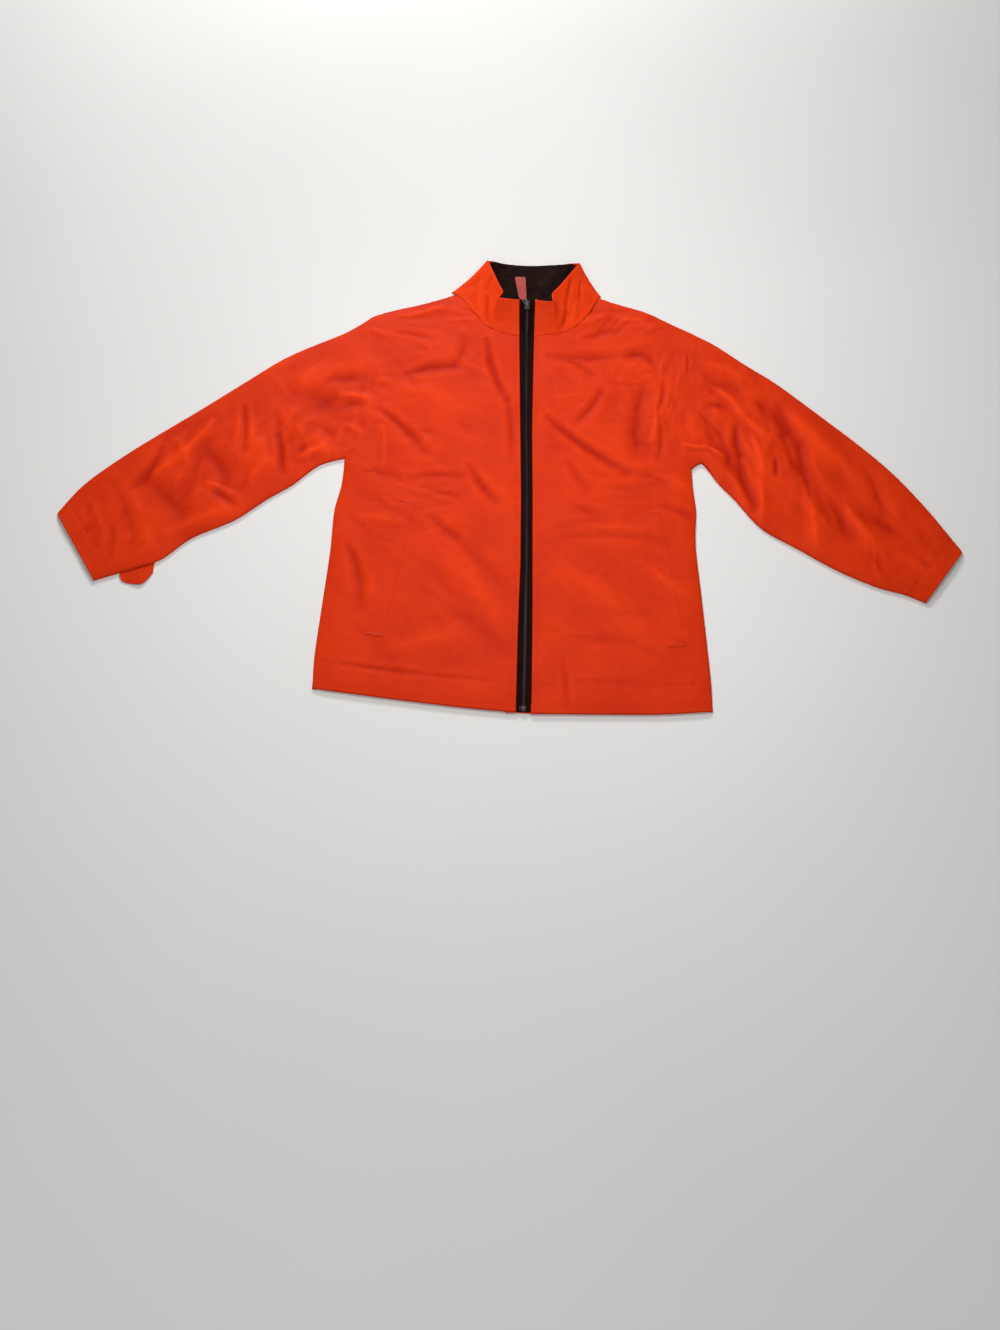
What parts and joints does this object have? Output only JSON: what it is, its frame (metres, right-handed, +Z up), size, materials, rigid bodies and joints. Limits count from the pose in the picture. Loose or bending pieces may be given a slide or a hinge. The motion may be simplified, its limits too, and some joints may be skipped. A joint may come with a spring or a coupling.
{
  "type": "all weather jacket laid flat",
  "caption": "Lined zip-up outdoor jacket with a stand collar, set-in sleeves and slanted welt pockets, laid flat on its back with the zip closed.",
  "frame": {"origin": "middle of the laid-out outline, on the surface that the jacket lies on, under the back", "axes": "+X towards the sleeve on the right of the view (the wearer's left), +Y from hem to collar, +Z up, out of the fronts"},
  "size_m": [1.388, 0.8223, 0.0643],
  "materials": {
    "shell_cloth": "fine plain-weave nylon, orange, soft sheen",
    "dark_lining": "short dark pile, matt",
    "zip_tape": "woven tape, black",
    "zip_plastic": "moulded, black, slightly glossy",
    "slider_metal": "worn dark metal",
    "pull_rubber": "soft moulded tab, salmon red"
  },
  "bodies": {
    "jacket": {"back": "shell_cloth", "front_left": "shell_cloth", "front_right": "shell_cloth", "sleeve_left": "shell_cloth", "sleeve_right": "shell_cloth", "collar_outer": "shell_cloth", "collar_lining": "dark_lining", "neck_lining": "dark_lining", "pocket_welt_left": "shell_cloth", "pocket_welt_right": "shell_cloth", "cuff_tab_left": "shell_cloth", "zip_tape_left": "zip_tape", "zip_tape_right": "zip_tape", "zip_teeth": "zip_plastic", "zip_box": "zip_plastic", "zip_slider": "slider_metal"},
    "zip_pull": {"zip_pull": "pull_rubber"}
  },
  "joints": [
    {"name": "pull_tab_hinge", "type": "hinge", "parent": "jacket", "child": "zip_pull", "pos_m": [0.03836, 0.29714, 0.03743], "axis": [1, 0, 0], "range_deg": [0, 170]}
  ]
}
